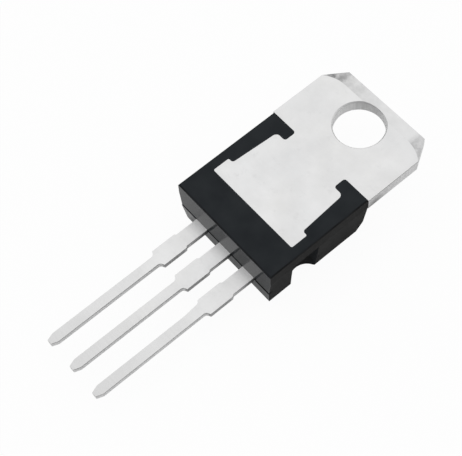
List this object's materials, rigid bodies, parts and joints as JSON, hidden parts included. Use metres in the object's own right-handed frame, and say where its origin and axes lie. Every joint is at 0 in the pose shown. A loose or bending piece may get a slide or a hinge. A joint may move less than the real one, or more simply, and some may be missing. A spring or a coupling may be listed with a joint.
{
  "type": "darlington transistor",
  "caption": "Power darlington transistor: black moulded plastic body with a drilled metal cooling tab and flat solder leads in a row.",
  "frame": {"origin": "centre of the mounting hole, in the plane of the metal back face", "axes": "+Z out of the metal back face, +Y from the leads towards the tab's end, +X across the body, on the side of the base lead"},
  "size_m": [0.01, 0.0291, 0.0044],
  "materials": {
    "plated_copper": "satin",
    "epoxy": "satin",
    "silicon": "polished",
    "solder": "satin",
    "aluminium_wire": "satin"
  },
  "bodies": {
    "root": {"collector_tab": "plated_copper", "emitter_lead": "plated_copper", "base_lead": "plated_copper", "moulded_body": "epoxy", "silicon_die": "silicon", "die_attach": "solder", "emitter_wire": "aluminium_wire", "base_wire": "aluminium_wire"}
  },
  "joints": []
}
